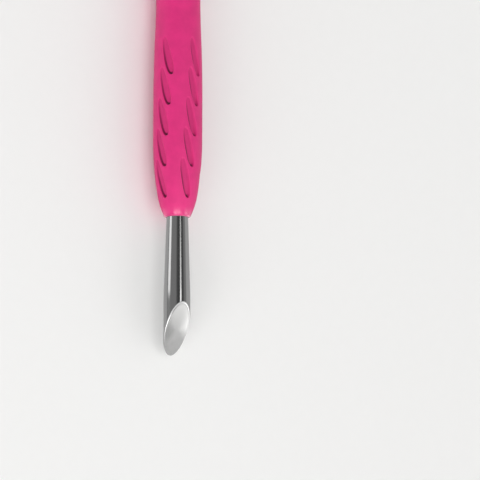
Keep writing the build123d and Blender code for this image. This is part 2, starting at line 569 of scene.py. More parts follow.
class Effects:
    """Shader node groups that several finishes share, each built once."""

    def __init__(self) -> None:
        """Builds the groups."""
        self.moulded_grain = self._group(
            "moulded grain", [("Grain Size", "NodeSocketFloat", 0.2)], ["Height", "Mottle"], self._grain)
        self.fine_marks = self._group(
            "fine marks", [("Fineness", "NodeSocketFloat", 6.0), ("Coverage", "NodeSocketFloat", 0.5)],
            ["Height", "Marks"], self._marks, vector="Stretched Place")
        self.handling_film = self._group(
            "handling film", [("Patch Size", "NodeSocketFloat", 6.0), ("Dust", "NodeSocketFloat", 0.3)],
            ["Film", "Specks"], self._film)
        self.broken_edge = self._group(
            "broken edge", [("Edge", "NodeSocketFloat", 0.0), ("Break Up", "NodeSocketFloat", 0.5)],
            ["Wear"], self._edge)

    def _group(self, name: str, inputs: list[GroupSocket], outputs: list[str],
               fill: Callable[[Wiring, dict[str, Socket]], dict[str, Socket]],
               vector: str = "Place") -> bpy.types.NodeTree:
        """Builds one group.

        Args:
            name: the group's name.
            inputs: name, type and usual value of each input after the place.
            outputs: names of the outputs, which are all values.
            fill: adds the nodes, given the inputs, and returns what feeds each output.
            vector: name of the input that says where the effect is read, in mm.

        Returns:
            The node group.
        """
        tree = bpy.data.node_groups.new(name, "ShaderNodeTree")
        tree.interface.new_socket(name=vector, in_out="INPUT", socket_type="NodeSocketVector")
        for label, kind, usual in inputs:
            tree.interface.new_socket(name=label, in_out="INPUT", socket_type=kind).default_value = usual
        for label in outputs:
            tree.interface.new_socket(name=label, in_out="OUTPUT", socket_type="NodeSocketFloat")
        wiring = Wiring(tree)
        source, sink = wiring.node("NodeGroupInput"), wiring.node("NodeGroupOutput")
        results = fill(wiring, {socket.name: socket for socket in source.outputs})
        for label, result in results.items():
            wiring.feed(sink.inputs[label], result)
        return tree

    @staticmethod
    def _grain(wiring: Wiring, given: dict[str, Socket]) -> dict[str, Socket]:
        """Spark-eroded mould texture: fine pits over a softer unevenness.

        Args:
            wiring: the group's nodes.
            given: the group's inputs, by name.

        Returns:
            The relief and a soft unevenness, each about 0 to 1.
        """
        fineness = wiring.math("DIVIDE", 1.0, given["Grain Size"])
        pits = wiring.node("ShaderNodeTexVoronoi", feature="SMOOTH_F1")
        wiring.feed(pits.inputs["Vector"], given["Place"])
        wiring.feed(pits.inputs["Scale"], fineness)
        fine = wiring.noise(given["Place"], fineness, 4.0, 0.6)
        swell = wiring.noise(given["Place"], 0.35, 2.0, 0.5)
        height = wiring.math("MULTIPLY_ADD", pits.outputs["Distance"], 0.5, fine)
        mottle = wiring.math("ADD", wiring.math("MULTIPLY", swell, 0.7), wiring.math("MULTIPLY", fine, 0.3))
        return {"Height": height, "Mottle": mottle}

    @staticmethod
    def _marks(wiring: Wiring, given: dict[str, Socket]) -> dict[str, Socket]:
        """Polishing or grinding marks: fine streaks, with a few deeper ones among them.

        Args:
            wiring: the group's nodes.
            given: the group's inputs, by name.

        Returns:
            The relief, and a mask of the deeper marks.
        """
        place = given["Stretched Place"]
        streaks = wiring.noise(place, given["Fineness"], 6.0, 0.7)
        coarse = wiring.math("MULTIPLY", given["Fineness"], 0.27)
        deeper = wiring.noise(place, coarse, 2.0, 0.4)
        cut = wiring.math("SUBTRACT", 0.72, wiring.math("MULTIPLY", given["Coverage"], 0.25))
        marks = wiring.math("MULTIPLY", wiring.math("SUBTRACT", deeper, cut), 9.0, clamp=True)
        height = wiring.math("SUBTRACT", streaks, wiring.math("MULTIPLY", marks, 0.6))
        return {"Height": height, "Marks": marks}

    @staticmethod
    def _film(wiring: Wiring, given: dict[str, Socket]) -> dict[str, Socket]:
        """Film left by handling, in soft patches, and a few specks of dust.

        Args:
            wiring: the group's nodes.
            given: the group's inputs, by name.

        Returns:
            Masks of the film and of the specks.
        """
        patches = wiring.noise(given["Place"], wiring.math("DIVIDE", 1.0, given["Patch Size"]), 5.0, 0.62)
        film = wiring.ramp(patches, 0.42, 0.68)
        motes = wiring.node("ShaderNodeTexVoronoi", feature="F1")
        wiring.feed(motes.inputs["Vector"], given["Place"])
        wiring.feed(motes.inputs["Scale"], 1.1)
        size = wiring.math("MULTIPLY", given["Dust"], 0.16)
        near = wiring.math("SUBTRACT", size, motes.outputs["Distance"])
        specks = wiring.math("MULTIPLY", near, 30.0, clamp=True)
        return {"Film": film, "Specks": specks}

    @staticmethod
    def _edge(wiring: Wiring, given: dict[str, Socket]) -> dict[str, Socket]:
        """Wear that follows an edge and is broken up along it.

        Args:
            wiring: the group's nodes.
            given: the group's inputs, by name.

        Returns:
            A mask of the wear.
        """
        rub = wiring.noise(given["Place"], 1.7, 4.0, 0.6)
        kept = wiring.math("MULTIPLY", wiring.math("SUBTRACT", rub, 0.5), given["Break Up"])
        share = wiring.math("ADD", 0.75, wiring.math("MULTIPLY", kept, 3.0))
        wear = wiring.math("MULTIPLY", given["Edge"], share, clamp=True)
        return {"Wear": wear}


@dataclass(frozen=True)
class Finish:
    """A surface finish; each kind of finish adds its own nodes.

    Attributes:
        name: the material's name.
        colour: its main colour, as linear red, green and blue.
    """

    name: str
    colour: Colour

    def make(self, effects: Effects) -> bpy.types.Material:
        """Makes the material.

        Args:
            effects: the shared shader groups.

        Returns:
            The material, with its shader joined to the output.
        """
        material = bpy.data.materials.new(self.name)
        material.use_nodes = True
        material.diffuse_color = (*self.colour, 1)
        wiring = Wiring(material.node_tree)
        shader = wiring.node("ShaderNodeBsdfPrincipled")
        self.dress(wiring, shader, effects)
        output = wiring.node("ShaderNodeOutputMaterial")
        wiring.feed(output.inputs["Surface"], shader.outputs["BSDF"])
        return material

    def dress(self, wiring: Wiring, shader: bpy.types.Node, effects: Effects) -> None:
        """Sets the shader's sockets and adds what feeds them."""
        raise NotImplementedError

    @staticmethod
    def relief(wiring: Wiring, shader: bpy.types.Node, height: Any, depth: float) -> None:
        """Feeds the shader's normal from a height.

        Args:
            wiring: the material's nodes.
            shader: the shader to feed.
            height: the relief, about 0 to 1.
            depth: what a height of 1 stands for, in mm.
        """
        bump = wiring.node("ShaderNodeBump")
        wiring.feed(bump.inputs["Height"], height)
        bump.inputs["Distance"].default_value = depth * MM
        bump.inputs["Strength"].default_value = 1.0
        wiring.feed(shader.inputs["Normal"], bump.outputs["Normal"])


def tinted(colour: Colour, factor: float) -> tuple[float, float, float, float]:
    """A colour made lighter or darker, with full alpha."""
    return (*(min(channel * factor, 1.0) for channel in colour), 1.0)


@dataclass(frozen=True)
class SoftRubber(Finish):
    """Soft moulded elastomer: fine grain, satin sheen, rubbed edges round the recesses and painted shade in
    them.
    """

    # Two of the colours below are painted shade: a darker pink inside the recesses and a near black on their
    # steep walls.
    recess_shade_colour: Colour = (0.4, 0.015, 0.11)
    wall_shade_colour: Colour = (0.08, 0.006, 0.03)
    dust_colour: Colour = (0.86, 0.62, 0.68)
    recess_shade_share: float = 0.34
    wall_shade_share: float = 0.97
    wear_share: float = 0.16
    dust_share: float = 0.35
    roughness: float = 0.46

    def dress(self, wiring: Wiring, shader: bpy.types.Node, effects: Effects) -> None:
        """Sets the shader's sockets and adds what feeds them.

        Args:
            wiring: the material's nodes.
            shader: its shader.
            effects: the shared effects.
        """
        place = wiring.millimetres()
        grain = wiring.group(effects.moulded_grain, Place=place, Grain_Size=0.16)
        film = wiring.group(effects.handling_film, Place=place, Patch_Size=7.0, Dust=0.25)
        rim = wiring.node("ShaderNodeAttribute", attribute_name="rim").outputs["Fac"]
        hollow = wiring.node("ShaderNodeAttribute", attribute_name="hollow").outputs["Fac"]
        corner = wiring.node("ShaderNodeAttribute", attribute_name="corner").outputs["Fac"]
        wear = wiring.group(effects.broken_edge, Place=place, Edge=rim, Break_Up=0.6)["Wear"]

        mottled = wiring.mix(wiring.ramp(grain["Mottle"], 0.3, 0.7), tinted(self.colour, 0.94),
                             tinted(self.colour, 1.05))
        # Painted shade: the inside of each recess is tinted darker pink.
        depth = wiring.math("MULTIPLY", hollow, self.recess_shade_share)
        shaded = wiring.mix(depth, mottled, (*self.recess_shade_colour, 1))
        # Painted shade: the steep walls of each recess are darkened nearly to black, darkest at the deep end.
        wall_shade = wiring.math("MULTIPLY", corner, self.wall_shade_share)
        wall_shaded = wiring.mix(wall_shade, shaded, (*self.wall_shade_colour, 1))
        rubbed = wiring.mix(wiring.math("MULTIPLY", wear, self.wear_share), wall_shaded, tinted(self.colour, 1.2))
        dust = wiring.math("MULTIPLY", film["Specks"], self.dust_share)
        dusty = wiring.mix(dust, rubbed, (*self.dust_colour, 1))
        wiring.feed(shader.inputs["Base Color"], dusty)

        worn = wiring.math("MULTIPLY_ADD", film["Film"], -0.07, self.roughness + 0.04)
        rough = wiring.math("MULTIPLY_ADD", hollow, 0.1, wiring.math("MULTIPLY_ADD", wear, -0.08, worn))
        lip = wiring.node("ShaderNodeAttribute", attribute_name="lip").outputs["Fac"]
        wiring.feed(shader.inputs["Roughness"], wiring.math("MULTIPLY_ADD", lip, -0.1, rough))
        wiring.feed(shader.inputs["Coat Weight"], lip)
        shader.inputs["Coat Roughness"].default_value = 0.1
        shader.inputs["IOR"].default_value = 1.48
        shader.inputs["Specular IOR Level"].default_value = 0.34
        shader.inputs["Sheen Weight"].default_value = 0.05
        shader.inputs["Sheen Roughness"].default_value = 0.45
        shader.inputs["Sheen Tint"].default_value = (1.0, 0.55, 0.75, 1)
        self.relief(wiring, shader, grain["Height"], 0.012)


@dataclass(frozen=True)
class PolishedSteel(Finish):
    """Polished steel rod: mirror-like, with fine polishing marks and a little handling film."""

    roughness: float = 0.1
    lay: Lay = Lay.LENGTHWISE
    fineness: float = 7.0

    def dress(self, wiring: Wiring, shader: bpy.types.Node, effects: Effects) -> None:
        """Sets the shader's sockets and adds what feeds them.

        Args:
            wiring: the material's nodes.
            shader: its shader.
            effects: the shared effects.
        """
        place = wiring.millimetres()
        marks = wiring.group(effects.fine_marks, Stretched_Place=wiring.scaled(place, self.lay.value),
                             Fineness=self.fineness, Coverage=0.25)
        film = wiring.group(effects.handling_film, Place=place, Patch_Size=5.0, Dust=0.1)
        toned = wiring.mix(wiring.math("MULTIPLY", film["Film"], 0.18), (*self.colour, 1),
                           tinted(self.colour, 0.9))
        wiring.feed(shader.inputs["Base Color"], toned)
        shader.inputs["Metallic"].default_value = 1.0
        hazed = wiring.math("MULTIPLY_ADD", film["Film"], 0.035, self.roughness)
        wiring.feed(shader.inputs["Roughness"], wiring.math("MULTIPLY_ADD", marks["Marks"], 0.12, hazed))
        self.relief(wiring, shader, marks["Height"], 0.0012)


@dataclass(frozen=True)
class GroundSteel(Finish):
    """Satin ground steel: close parallel grinding lines, with next to no deeper ones among them."""

    roughness: float = 0.17
    lay: Lay = Lay.ACROSS_FACE
    fineness: float = 14.0

    def dress(self, wiring: Wiring, shader: bpy.types.Node, effects: Effects) -> None:
        """Sets the shader's sockets and adds what feeds them.

        Args:
            wiring: the material's nodes.
            shader: its shader.
            effects: the shared effects.
        """
        place = wiring.millimetres()
        marks = wiring.group(effects.fine_marks, Stretched_Place=wiring.scaled(place, self.lay.value),
                             Fineness=self.fineness, Coverage=0.0)
        film = wiring.group(effects.handling_film, Place=place, Patch_Size=3.5, Dust=0.1)
        toned = wiring.mix(wiring.math("MULTIPLY", marks["Marks"], 0.12), (*self.colour, 1),
                           tinted(self.colour, 0.9))
        wiring.feed(shader.inputs["Base Color"], toned)
        shader.inputs["Metallic"].default_value = 1.0
        rough = wiring.math("MULTIPLY_ADD", film["Film"], 0.06, self.roughness)
        wiring.feed(shader.inputs["Roughness"], wiring.math("MULTIPLY_ADD", marks["Marks"], -0.05, rough))
        self.relief(wiring, shader, marks["Height"], 0.0016)


@dataclass(frozen=True)
class MouldedPlastic(Finish):
    """Rigid moulded plastic with a spark-eroded skin."""

    roughness: float = 0.5
    grain_size: float = 0.22
    dust_colour: Colour = (0.8, 0.75, 0.76)
    dust_share: float = 0.3

    def dress(self, wiring: Wiring, shader: bpy.types.Node, effects: Effects) -> None:
        """Sets the shader's sockets and adds what feeds them.

        Args:
            wiring: the material's nodes.
            shader: its shader.
            effects: the shared effects.
        """
        place = wiring.millimetres()
        grain = wiring.group(effects.moulded_grain, Place=place, Grain_Size=self.grain_size)
        film = wiring.group(effects.handling_film, Place=place, Patch_Size=5.0, Dust=0.25)
        mottled = wiring.mix(grain["Mottle"], tinted(self.colour, 0.93), tinted(self.colour, 1.07))
        dust = wiring.math("MULTIPLY", film["Specks"], self.dust_share)
        dusty = wiring.mix(dust, mottled, (*self.dust_colour, 1))
        wiring.feed(shader.inputs["Base Color"], dusty)
        wiring.feed(shader.inputs["Roughness"],
                    wiring.math("MULTIPLY_ADD", film["Film"], -0.08, self.roughness))
        shader.inputs["IOR"].default_value = 1.5
        self.relief(wiring, shader, grain["Height"], 0.014)


@dataclass(frozen=True)
class BenchTop(Finish):
    """Pale laminate bench with the faintest unevenness."""

    def dress(self, wiring: Wiring, shader: bpy.types.Node, effects: Effects) -> None:
        """Sets the shader's sockets and adds what feeds them.

        Args:
            wiring: the material's nodes.
            shader: its shader.
            effects: the shared effects.
        """
        place = wiring.millimetres()
        grain = wiring.group(effects.moulded_grain, Place=place, Grain_Size=1.5)
        toned = wiring.mix(grain["Mottle"], tinted(self.colour, 0.99), tinted(self.colour, 1.01))
        wiring.feed(shader.inputs["Base Color"], toned)
        shader.inputs["Roughness"].default_value = 0.7
        shader.inputs["Specular IOR Level"].default_value = 0.2


# ---------------------------------------------------------------- the soft grip


@dataclass(frozen=True)
class LeafPattern:
    """Leaf-shaped finger recesses, in rings that turn a little from one to the next.

    Sizes are in mm and turns in degrees. A leaf has a deep end towards the tool's tip and a
    shallow end towards the butt. Its steep walls are the one at the deep end and the one on the
    side that its deep end turns away from.

    Attributes:
        rows: how many rings there are.
        per_row: how many leaves a ring has.
        first_turn_deg: turn of the first ring's deep ends from straight up.
        tip_back: how far back the first ring's deep ends are.
        top_back: how far back its shallow ends are.
        sweep_deg: turn from a leaf's shallow end to its deep end.
        half_width: half of a leaf's width.
        fullness: how much wider the deep half is, as a share.
        bow: how far a leaf's middle line bends sideways.
        squareness: power of a leaf's outline; 2 is an ellipse.
        row_pitch: distance from one ring to the next.
        row_twist_deg: turn from one ring to the next.
        deep: depth of the deep end.
        shallow: depth of the shallow end.
        round_over: how far outside a leaf its edge starts to fall.
        steep_wall: width of the steep walls.
        gentle_wall: width of the gentle walls.
        shade_reach: how far the painted shade reaches in from a steep wall's edge.
        shade_tip_gain: how much further it reaches at the end wall, as a share.
        shade_power: power by which the painted shade grows with the depth.
        shade_softness: power of the painted shade's fade.
        rim_at: how far outside a leaf its rubbed edge is.
        rim_width: width of that rubbed edge.
    """

    rows: int = 5
    per_row: int = 5
    first_turn_deg: float = 3.0
    tip_back: float = 4.2
    top_back: float = 13.8
    sweep_deg: float = 21.0
    half_width: float = 1.07
    fullness: float = 0.1
    bow: float = 0.14
    squareness: float = 2.45
    row_pitch: float = 7.5
    row_twist_deg: float = 6.0
    deep: float = 0.58
    shallow: float = 0.15
    round_over: float = 0.1
    steep_wall: float = 0.24
    gentle_wall: float = 0.46
    shade_reach: float = 0.46
    shade_tip_gain: float = 0.7
    shade_power: float = 0.7
    shade_softness: float = 0.6
    rim_at: float = 0.06
    rim_width: float = 0.1

    def row_back(self, row: int) -> float:
        """How far back the middle of a ring of leaves is."""
        return (self.tip_back + self.top_back) / 2 + self.row_pitch * row

    def column_turn(self, back: Any) -> Any:
        """Turn of the line through the middles of one column's leaves, in radians.

        Args:
            back: distances back from the mouth, in mm.

        Returns:
            The turn at each distance.
        """
        twist_deg = self.row_twist_deg * (back - self.row_back(0)) / self.row_pitch
        return np.radians(self.first_turn_deg - self.sweep_deg / 2 + twist_deg)

    def leaf_frame(self, row: int, radius: float) -> tuple[np.ndarray, np.ndarray, float]:
        """A leaf laid out flat.

        Args:
            row: the leaf's ring, from the mouth.
            radius: radius of the grip at the leaf's middle.

        Returns:
            Its middle and the unit vector towards its deep end, each as distance back and distance
            round, and half of its length.
        """
        back = self.row_back(row)
        middle = np.array([back, float(self.column_turn(back)) * radius])
        span = np.array([self.tip_back - self.top_back, math.radians(self.sweep_deg) * radius])
        length = float(np.hypot(*span))
        return middle, span / length, length / 2

    def half_width_at(self, along: Any) -> Any:
        """Half of a leaf's width, from -1 at its shallow end to 1 at its deep end."""
        return self.half_width * (1 + self.fullness * along)

    def depth(self, back: np.ndarray, turn: np.ndarray, outline: HandleOutline) -> tuple[np.ndarray, ...]:
        """How far the skin is sunk, for places within one column.

        Args:
            back: distances back from the mouth.
            turn: turns, in radians, within half a pitch of the column.
            outline: the handle's outline.

        Returns:
            The depth in mm, and three shares from 0 to 1: how near each place is to a recess's
            edge, how far it is inside (which sets the painted recess shade), and the painted shade of the
            steep walls.
        """
        sunk, rim, inside, corner = (np.zeros_like(back) for _ in range(4))
        for row in range(self.rows):
            radius = float(outline.sample(self.row_back(row))[0])
            middle, along, half_length = self.leaf_frame(row, radius)
            d_back, d_round = back - middle[0], turn * radius - middle[1]
            u = (d_back * along[0] + d_round * along[1]) / half_length
            v = d_back * along[1] - d_round * along[0] + self.bow * (1 - u**2)
            half_width = self.half_width_at(np.clip(u, -1, 1))
            v = v / half_width
            power = self.squareness
            norm = np.maximum((np.abs(u) ** power + np.abs(v) ** power) ** (1 / power), 1e-3)
            slope_u = np.sign(u) * (np.abs(u) / norm) ** (power - 1) / half_length
            slope_v = np.sign(v) * (np.abs(v) / norm) ** (power - 1) / half_width
            slope = np.maximum(np.hypot(slope_u, slope_v), 1e-6)
            outside = (norm - 1) / slope
            facing = (slope_u - slope_v) / slope / math.sqrt(2)
            wall = self.gentle_wall + (self.steep_wall - self.gentle_wall) * (0.5 + 0.5 * facing)
            share = np.clip((self.round_over - outside) / (self.round_over + wall), 0, 1)
            eased = share**3 * (share * (share * 6 - 15) + 10)
            floor = self.shallow + (self.deep - self.shallow) * np.clip(0.5 + 0.5 * u, 0, 1)
            sunk = np.maximum(sunk, floor * eased)
            rim = np.maximum(rim, np.exp(-(((outside - self.rim_at) / self.rim_width) ** 2)))
            inside = np.maximum(inside, eased)
            # Painted shade mask: a band down each steep wall, wider at the deep end and stronger where the
            # recess is deeper.
            reach = self.shade_reach * (1 + self.shade_tip_gain * np.clip(slope_u / slope, 0, 1) ** 2)
            on_wall = np.clip(1 - ((outside + reach / 2) / (reach / 2)) ** 2, 0, 1) ** self.shade_softness
            steep = np.clip((facing - 0.05) / 0.6, 0, 1)
            share_deep = (floor - self.shallow) / (self.deep - self.shallow)
            corner = np.maximum(corner, on_wall * steep * share_deep**self.shade_power)
        return sunk, rim, inside, corner


@dataclass
class SoftGrip:
    """The soft outer moulding of the handle, a closed shell with its recesses and its key ribs.

    Sizes are in mm.

    Attributes:
        tool: where the tool's axis lies.
        outline: the handle's outline.
        leaves: the pattern of recesses.
        neck_r: radius of the mouth's bore, close round the rod.
        lip_depth: how far back that bore goes.
        lip_round: rounding of its edge.
        wall: thickness of the shell.
        key_grooves: how far back the middles of the key ribs are.
        key_width: width of a key rib.
        key_depth: height of a key rib.
        seam_break: rounding of the edge at the seam with the cap.
        pattern_start: where the patterned part of the skin starts.
        pattern_end: where it ends.
        spacing: distance between the skin's plain points.
        column_steps: steps round one column of leaves.
        leaf_steps: points in a ring round a leaf.
        gloss_end: how far back the mouth's glossy lip reaches.
        gloss_fade: length over which the gloss fades.
        slope_step: step over which the skin's slopes are read.
        groove_edge: half of the width of a key rib's edge.
        bore_start: where the shell's inside starts, behind the lip.
        bore_end: where its patterned inside ends.
        rear_rings: how many plain rings the rear of the skin has.
        seam_gap: how far the end face stops short of the skin's edge.
        ring_offsets: how far outside a leaf's outline each of its rings is.
    """

    tool: ToolFrame
    outline: HandleOutline
    leaves: LeafPattern = field(default_factory=LeafPattern)
    neck_r: float = 2.66
    lip_depth: float = 2.6
    lip_round: float = 0.12
    wall: float = 1.25
    key_grooves: tuple[float, ...] = (52.0, 64.0, 76.0, 88.0, 98.0)
    key_width: float = 2.4
    key_depth: float = 0.4
    seam_break: float = 0.25
    pattern_start: float = 3.3
    pattern_end: float = 45.2
    spacing: float = 0.52
    column_steps: int = 30
    leaf_steps: int = 96
    gloss_end: float = 2.2
    gloss_fade: float = 1.6
    slope_step: float = 0.01
    groove_edge: float = 0.01
    bore_start: float = 4.0
    bore_end: float = 50.0
    rear_rings: int = 50
    seam_gap: float = 0.06
    ring_offsets: tuple[float, ...] = (0.2, 0.13, 0.09, 0.05, 0.01, -0.03, -0.07, -0.11, -0.16, -0.23,
                                       -0.32, -0.43, -0.58, -0.78)

    def skin(self, back: np.ndarray, turn: np.ndarray) -> np.ndarray:
        """Points of the outer skin of the first column, recesses included.

        Args:
            back: distances back from the mouth, in mm.
            turn: turns, in radians.

        Returns:
            The points, one row each, in metres.
        """
        radius, lean = self.outline.sample(back)
        sunk = self.leaves.depth(back, turn, self.outline)[0]
        return self.tool.place(back - lean * sunk, radius - np.sqrt(1 - lean**2) * sunk, turn)

    def skin_normals(self, back: np.ndarray, turn: np.ndarray) -> np.ndarray:
        """Outward normals of the outer skin, from its slopes lengthwise and round.

        Args:
            back: distances back from the mouth, in mm.
            turn: turns, in radians.

        Returns:
            The unit normals, one row each.
        """
        step = self.slope_step
        lengthwise = self.skin(back + step, turn) - self.skin(back - step, turn)
        radius, _ = self.outline.sample(back)
        swing = step / radius
        around = self.skin(back, turn + swing) - self.skin(back, turn - swing)
        normals = np.cross(around, lengthwise)
        return normals / np.linalg.norm(normals, axis=1, keepdims=True)

    def column_mesh(self) -> tuple[np.ndarray, np.ndarray, list[list[int]]]:
        """Triangulates one column of leaves, with rings of points that follow each leaf.

        Returns:
            The points' distances back, their turns, and the triangles.
        """
        half_pitch = math.pi / self.leaves.per_row
        scale = self.outline.barrel_r
        flat: list[tuple[float, float]] = []
        rows = max(2, round((self.pattern_end - self.pattern_start) / self.spacing))
        for i, back in enumerate(np.linspace(self.pattern_start, self.pattern_end, rows + 1)):
            edge_row = i in (0, rows)
            shift = 0.0 if edge_row or i % 2 == 0 else 0.5
            for j in range(self.column_steps + 1):
                share = (j + shift) / self.column_steps
                if share > 1:
                    continue
                flat.append((float(back), (2 * share - 1) * half_pitch * scale))
            if shift:
                flat.append((float(back), -half_pitch * scale))
                flat.append((float(back), half_pitch * scale))
        keep = self._clear_of_leaves(np.array(flat))
        flat = [point for point, kept in zip(flat, keep) if kept]
        edges: list[tuple[int, int]] = []
        for row in range(self.leaves.rows):
            *rings, spine = self._leaf_rings(row)
            for ring in rings:
                first, count = len(flat), len(ring)
                edges.extend((first + i, first + (i + 1) % count) for i in range(count))
                flat.extend(ring)
            flat.extend(spine)
        points, _, faces, *_ = delaunay_2d_cdt([Vector(point) for point in flat], edges, [], 0, 1e-5, False)
        laid = np.array([tuple(point) for point in points])
        turn = laid[:, 1] / scale + self.leaves.column_turn(laid[:, 0])
        return laid[:, 0], turn, [list(face) for face in faces]

    def _clear_of_leaves(self, flat: np.ndarray) -> np.ndarray:
        """Which plain points stand clear of the rings round the leaves.

        Args:
            flat: points in the column's flat layout.

        Returns:
            For each point, whether it is kept.
        """
        turn = flat[:, 1] / self.outline.barrel_r + self.leaves.column_turn(flat[:, 0])
        clear = np.ones(len(flat), bool)
        for row in range(self.leaves.rows):
            radius = self._leaf_radius(row)
            middle, along, half_length = self.leaves.leaf_frame(row, radius)
            d_back, d_round = flat[:, 0] - middle[0], turn * radius - middle[1]
            u = d_back * along[0] + d_round * along[1]
            v = d_back * along[1] - d_round * along[0] + self.leaves.bow * (1 - (u / half_length) ** 2)
            margin = self.ring_offsets[0] + 0.6 * self.spacing
            power = self.leaves.squareness
            half_width = self.leaves.half_width_at(np.clip(u / half_length, -1, 1))
            length_share = (np.abs(u) / (half_length + margin)) ** power
            width_share = (np.abs(v) / (half_width + margin)) ** power
            clear &= length_share + width_share > 1
        return clear

    def _leaf_radius(self, row: int) -> float:
        """Radius of the grip at the middle of a ring of leaves."""
        return float(self.outline.sample(self.leaves.row_back(row))[0])

    def _leaf_rings(self, row: int) -> list[list[tuple[float, float]]]:
        """Closed rings of points in and round one leaf, and its middle line, laid out flat.

        Args:
            row: the leaf's ring, from the mouth.

        Returns:
            The rings from the outside inwards, then the middle line.
        """
        radius = self._leaf_radius(row)
        middle, along, half_length = self.leaves.leaf_frame(row, radius)
        across = np.array([along[1], -along[0]])
        angles = even_turns(self.leaf_steps)
        power = 2 / self.leaves.squareness
        cos, sin = np.cos(angles), np.sin(angles)
        unit_u, unit_v = np.sign(cos) * np.abs(cos) ** power, np.sign(sin) * np.abs(sin) ** power
        rings: list[list[tuple[float, float]]] = []
        for offset in self.ring_offsets:
            u = unit_u * (half_length + offset)
            v = unit_v * (self.leaves.half_width_at(unit_u) + offset)
            rings.append(self._laid_flat(middle, along, across, u, v, half_length, radius))
        spine = half_length - self.leaves.half_width
        u = np.linspace(-spine, spine, self.leaf_steps // 4)
        rings.append(self._laid_flat(middle, along, across, u, np.zeros_like(u), half_length, radius))
        return rings

    def _laid_flat(self, middle: np.ndarray, along: np.ndarray, across: np.ndarray, u: np.ndarray,
                   v: np.ndarray, half_length: float, radius: float) -> list[tuple[float, float]]:
        """Turns places in a leaf's own frame into the column's flat layout.

        Args:
            middle: the leaf's middle.
            along: the unit vector towards its deep end.
            across: the unit vector across it.
            u: distances along the leaf.
            v: distances across it.
            half_length: half of the leaf's length.
            radius: radius of the grip at its middle.

        Returns:
            The places, as distance back and distance round.
        """
        bowed = v - self.leaves.bow * (1 - (u / half_length) ** 2)
        places = middle + np.outer(u, along) + np.outer(bowed, across)
        turn = places[:, 1] / radius - self.leaves.column_turn(places[:, 0])
        return [(float(back), float(t) * self.outline.barrel_r) for back, t in zip(places[:, 0], turn)]

    def inner_profile(self) -> list[tuple[float, float]]:
        """The shell's lip, bore and inside, from the mouth round to the end of the grip.

        Returns:
            The profile, as distance back and radius.
        """
        mouth_r = float(self.outline.sample(0.0)[0])
        lip = arc_points((self.lip_round, self.neck_r + self.lip_round), self.lip_round, 180, 270, 4)
        profile = [(0.0, (mouth_r + lip[0][1]) / 2), *lip, (self.lip_depth, self.neck_r)]
        stations = [self.lip_depth, *np.linspace(self.bore_start, self.bore_end, 24)]
        for groove in self.key_grooves:
            low, high = groove - self.key_width / 2, groove + self.key_width / 2
            edge = self.groove_edge
            stations.extend([low - edge, low + edge, high - edge, high + edge])
        for back in stations:
            radius = float(self.outline.sample(back)[0]) - self.wall
            in_groove = any(abs(back - groove) < self.key_width / 2 for groove in self.key_grooves)
            profile.append((back, radius - (self.key_depth if in_groove else 0)))
        end = self.tool.grip_length
        profile.append((end, self.outline.barrel_r - self.wall))
        profile.append((end, self.outline.barrel_r - self.seam_break - self.seam_gap))
        profile.extend(arc_points((end - self.seam_break, self.outline.barrel_r - self.seam_break),
                                  self.seam_break, 0, 90, 5))
        return profile

    def build(self, material: bpy.types.Material) -> bpy.types.Object:
        """Makes the grip.

        Args:
            material: the soft rubber.

        Returns:
            The finished piece.
        """
        draft = MeshDraft()
        back, turn, triangles = self.column_mesh()
        points, normals = self.skin(back, turn), self.skin_normals(back, turn)
        _, rim, inside, corner = self.leaves.depth(back, turn, self.outline)
        for column in range(self.leaves.per_row):
            angle = column * self.pitch
            places, facings = self._turned(points, angle, self.tool.axis_z), self._turned(normals, angle, 0)
            # hollow and corner carry the masks of the painted shade inside the recesses and on their steep
            # walls.
            numbers = draft.add(places, facings, rim=rim, hollow=inside, corner=corner)
            for triangle in triangles:
                draft.face([numbers[point] for point in triangle])

        mouth_arc = self.outline.mouth_arc_r
        steep = math.radians(90 - self.outline.mouth_arc_end_deg)
        lip = mouth_arc * (1 - np.cos(np.linspace(0, steep, 9)))
        nose = self._outer_rings(draft, [*lip, *np.linspace(lip[-1], self.pattern_start, 9)[1:]])
        rear_end = self.tool.grip_length - self.seam_break
        rear = self._outer_rings(draft, np.linspace(self.pattern_end, rear_end, self.rear_rings))
        inner = [draft.add(self.tool.place(back, radius, self.ring_turns(back)))
                 for back, radius in self.inner_profile()]
        draft.loft(nose)
        draft.loft(rear)
        draft.loft([nose[0], *inner, rear[-1]])
        return draft.piece("soft_grip", [material])

    @property
    def pitch(self) -> float:
        """Turn from one column of leaves to the next."""
        return 2 * math.pi / self.leaves.per_row

    def ring_turns(self, back: float) -> np.ndarray:
        """Turns of a plain ring's points, in step with the edges of the patterned part.

        Args:
            back: the ring's distance back from the mouth.

        Returns:
            The turns, in radians.
        """
        level = min(max(back, self.pattern_start), self.pattern_end)
        start = float(self.leaves.column_turn(level)) - self.pitch / 2
        return even_turns(self.leaves.per_row * self.column_steps, start)

    def _outer_rings(self, draft: MeshDraft, stations: Iterable[float]) -> list[list[int]]:
        """Adds plain rings of the outer skin.

        Args:
            draft: the grip's mesh.
            stations: the rings' distances back from the mouth.

        Returns:
            Numbers of each ring's points.
        """
        rings = []
        for back in stations:
            radius, lean = self.outline.sample(back)
            turns = self.ring_turns(float(back))
            lip = np.full(len(turns), min(max((self.gloss_end - back) / self.gloss_fade, 0), 1))
            places, normals = self.tool.place(back, radius, turns), self.tool.normal(lean, turns)
            rings.append(draft.add(places, normals, lip=lip))
        return rings

    @staticmethod
    def _turned(vectors: np.ndarray, angle: float, axis_z: float) -> np.ndarray:
        """Points or directions turned about the tool's axis.

        Args:
            vectors: the points or directions, one row each.
            angle: the turn, in radians.
            axis_z: height of the axis, or 0 for directions.

        Returns:
            The turned points or directions.
        """
        y, z = vectors[:, 1], vectors[:, 2] - axis_z
        turned_y = y * math.cos(angle) + z * math.sin(angle)
        turned_z = z * math.cos(angle) - y * math.sin(angle)
        return np.stack([vectors[:, 0], turned_y, turned_z + axis_z], axis=-1)


# ---------------------------------------------------------------- the steel rod


